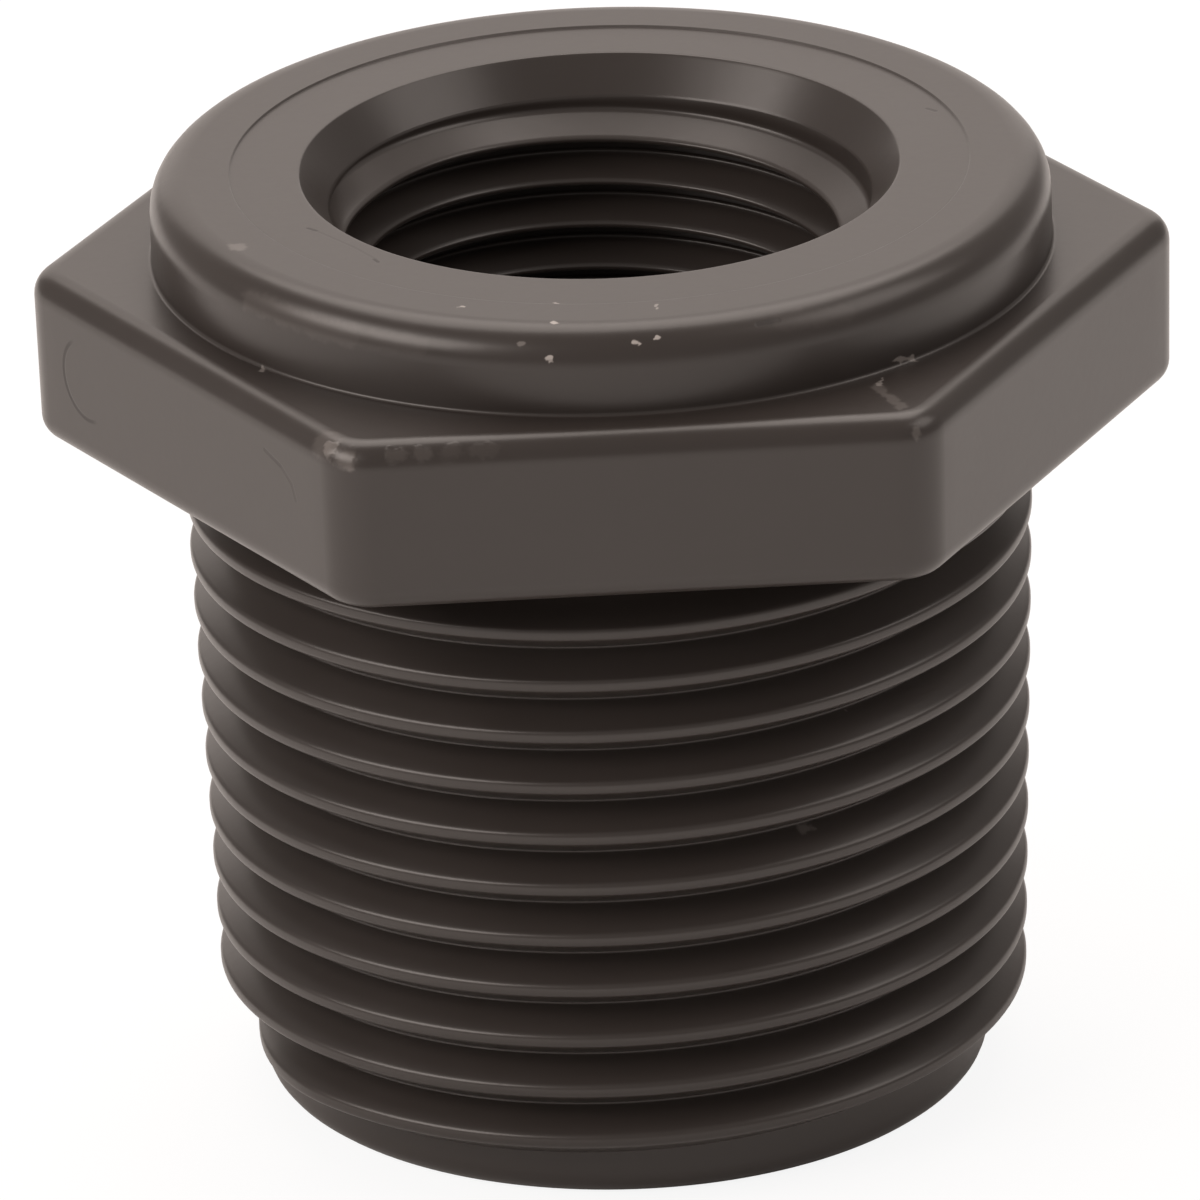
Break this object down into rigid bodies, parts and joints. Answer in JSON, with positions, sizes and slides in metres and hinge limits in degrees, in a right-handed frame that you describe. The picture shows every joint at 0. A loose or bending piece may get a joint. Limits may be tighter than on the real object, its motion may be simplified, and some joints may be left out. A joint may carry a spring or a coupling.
{
  "type": "hex reducing bushing",
  "caption": "Moulded plastic hex bushing: male taper pipe thread below a hexagon and round collar, smaller female taper pipe thread inside.",
  "frame": {"origin": "on the axis, in the plane of the lower (male) end face", "axes": "+Z along the axis from the male end up to the collar; -Y faces one flat of the hexagon, so two corners of the hexagon lie on X"},
  "size_m": [0.045, 0.0396, 0.0383],
  "materials": {
    "moulded_plastic": "satin black glass-filled polypropylene, as moulded"
  },
  "bodies": {
    "root": {"hex_bushing": "moulded_plastic"}
  },
  "joints": []
}
